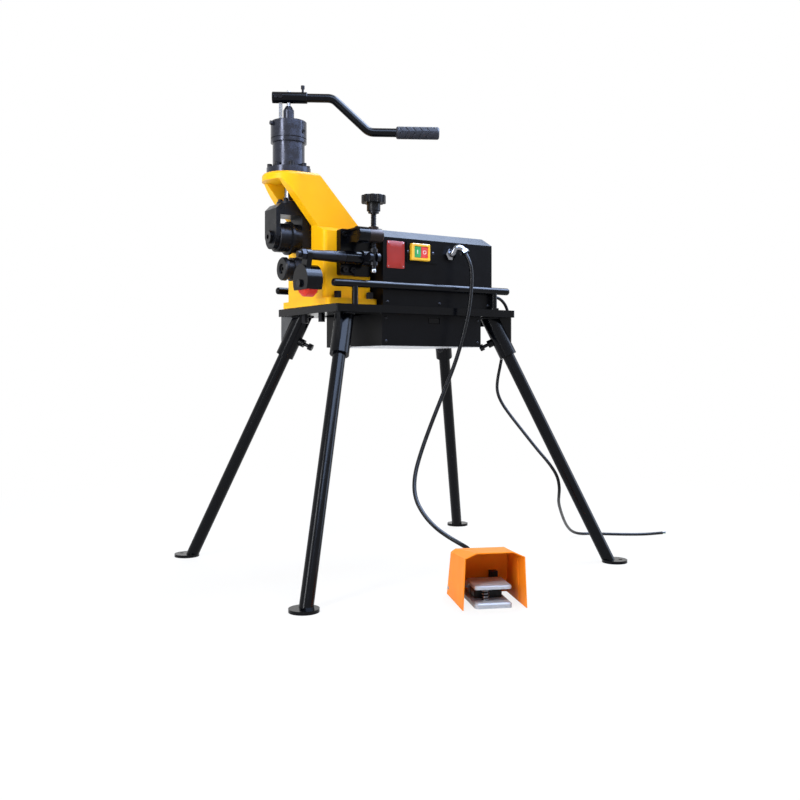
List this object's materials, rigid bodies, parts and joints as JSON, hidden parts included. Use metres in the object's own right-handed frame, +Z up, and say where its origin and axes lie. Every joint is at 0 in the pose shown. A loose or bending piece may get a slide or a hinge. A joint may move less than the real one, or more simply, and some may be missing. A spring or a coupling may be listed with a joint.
{
  "type": "pipe roll groover",
  "caption": "Stand-mounted pipe roll groover with drive roll, ram-held upper roll, hydraulic hand pump, screw-set pipe stabiliser, cased geared motor and corded foot switch.",
  "frame": {"origin": "on the floor, at the centre of the anchor hole pattern of the feet", "axes": "+Z up; X along the roll axis with the rolls at -X; the side with the push buttons faces -Y"},
  "size_m": [1.467, 1.0247, 1.2876],
  "materials": {
    "yellow_paint": "gloss enamel on a casting",
    "black_paint": "gloss enamel",
    "black_sheet": "satin powder coat",
    "grey_paint": "satin",
    "orange_paint": "gloss enamel",
    "steel": "machined",
    "roll_steel": "hardened and oiled",
    "dark_steel": "black oxide",
    "chrome": "hard chrome",
    "cast_grey": "die cast",
    "red_roller": "cast polyurethane",
    "black_plastic": "moulded",
    "grip_rubber": "moulded tread",
    "cord_rubber": "smooth sheath",
    "yellow_plastic": "moulded",
    "green_plastic": "moulded",
    "red_plastic": "moulded"
  },
  "bodies": {
    "stand": {"stand_plate": "black_paint", "stand_frame": "black_paint", "leg_front_near": "black_paint", "leg_front_far": "black_paint", "leg_rear_near": "black_paint", "leg_rear_far": "black_paint", "leg_clamp_screws": "dark_steel", "frame_bolts": "dark_steel", "carrying_rails": "black_paint", "frame_casting": "yellow_paint", "spindle_bearings": "steel", "gear_motor": "grey_paint", "drive_cover": "black_sheet", "control_box": "black_sheet", "control_box_door": "black_sheet", "contactor": "black_plastic", "switch_plate": "black_sheet", "switch_bezel": "yellow_plastic", "stabiliser_bracket": "black_paint", "bracket_screws": "dark_steel", "swivel_nut": "black_paint", "cylinder_barrel": "black_paint", "cylinder_head": "black_paint", "flange_screws": "dark_steel", "fulcrum_link": "steel", "cable_elbow": "chrome", "power_cord_gland": "black_plastic", "pedal_cord": "cord_rubber", "power_cord": "cord_rubber", "foot_switch_base": "cast_grey", "foot_switch_box": "black_plastic", "foot_switch_hood": "orange_paint", "pedal_pin": "steel", "pedal_spring": "steel"},
    "pump_lever": {"lever_socket": "black_paint", "lever_tube": "black_paint", "lever_grip": "grip_rubber", "lever_pins": "steel"},
    "pump_plunger": {"pump_plunger": "chrome"},
    "release_valve": {"release_valve": "dark_steel"},
    "ram": {"ram_rod": "chrome", "yoke": "black_paint", "yoke_screws": "dark_steel", "upper_roll_axle": "dark_steel"},
    "upper_roll": {"upper_roll": "roll_steel"},
    "drive_spindle": {"drive_spindle": "steel", "drive_roll": "roll_steel", "drive_roll_bolt": "dark_steel", "spindle_gear": "steel"},
    "motor_pinion": {"motor_pinion": "steel"},
    "stabiliser_arm": {"swing_shaft": "dark_steel", "crank_guard": "black_paint", "guide_roller_axle": "dark_steel"},
    "guide_roller": {"guide_roller": "red_roller"},
    "screw_carrier": {"thrust_washers": "dark_steel"},
    "adjusting_screw": {"adjusting_screw": "dark_steel", "star_knob": "black_plastic"},
    "start_button": {"start_button": "green_plastic"},
    "stop_button": {"stop_button": "red_plastic"},
    "foot_pedal": {"foot_pedal": "cast_grey"}
  },
  "joints": [
    {"name": "pump_lever_hinge", "type": "hinge", "parent": "stand", "child": "pump_lever", "pos_m": [-0.35869, 0.0105, 1.2556], "axis": [-0.5, -0.866, 0], "range_deg": [0, 40]},
    {"name": "pump_plunger_slide", "type": "slide", "parent": "stand", "child": "pump_plunger", "axis": [0, 0, 1], "range_m": [0, 0.0148]},
    {"name": "release_valve_turn", "type": "hinge", "parent": "stand", "child": "release_valve", "pos_m": [-0.3405, 0, 1.162], "axis": [0.4695, -0.8829, 0], "range_deg": [0, 90]},
    {"name": "ram_slide", "type": "slide", "parent": "stand", "child": "ram", "axis": [0, 0, 1], "range_m": [-0.009, 0.018]},
    {"name": "upper_roll_spin", "type": "hinge", "parent": "ram", "child": "upper_roll", "pos_m": [-0.35, 0, 0.884], "axis": [1, 0, 0], "continuous": true},
    {"name": "drive_spin", "type": "hinge", "parent": "stand", "child": "drive_spindle", "pos_m": [-0.3, 0, 0.803], "axis": [1, 0, 0], "continuous": true},
    {"name": "pinion_spin", "type": "hinge", "parent": "stand", "child": "motor_pinion", "pos_m": [-0.11, 0.08, 0.803], "axis": [1, 0, 0], "continuous": true},
    {"name": "stabiliser_swing", "type": "hinge", "parent": "stand", "child": "stabiliser_arm", "pos_m": [-0.28, -0.146, 0.826], "axis": [1, 0, 0], "range_deg": [-15, 25]},
    {"name": "guide_roller_spin", "type": "hinge", "parent": "stabiliser_arm", "child": "guide_roller", "pos_m": [-0.35, -0.125, 0.755], "axis": [1, 0, 0], "continuous": true},
    {"name": "screw_rise", "type": "slide", "parent": "stand", "child": "screw_carrier", "axis": [0, 0, 1], "range_m": [-0.0157, 0.00942]},
    {"name": "adjusting_screw_turn", "type": "hinge", "parent": "screw_carrier", "child": "adjusting_screw", "pos_m": [-0.189, -0.182, 0.9], "axis": [0, 0, 1], "range_deg": [-1413.1, 847.9]},
    {"name": "start_button_press", "type": "slide", "parent": "stand", "child": "start_button", "axis": [0, 1, 0], "range_m": [0, 0.0035], "stiffness_N_per_m": 900, "springref_m": -0.002},
    {"name": "stop_button_press", "type": "slide", "parent": "stand", "child": "stop_button", "axis": [0, 1, 0], "range_m": [0, 0.0035], "stiffness_N_per_m": 900, "springref_m": -0.002},
    {"name": "foot_pedal_press", "type": "hinge", "parent": "stand", "child": "foot_pedal", "pos_m": [-0.07033, -0.48162, 0.032], "axis": [0.9184, -0.3955, 0], "range_deg": [0, 7], "stiffness_Nm_per_rad": 8, "springref_deg": -3.44, "deforming": ["pedal_spring"]}
  ],
  "couplings": [
    {"joint": "pump_plunger_slide", "follows": "pump_lever_hinge", "m_per_rad": 0.021},
    {"joint": "pinion_spin", "follows": "drive_spin", "ratio": -3},
    {"joint": "adjusting_screw_turn", "follows": "screw_rise", "rad_per_m": 1570.8},
    {"joint": "stabiliser_swing", "follows": "screw_rise", "rad_per_m": -27.778}
  ]
}
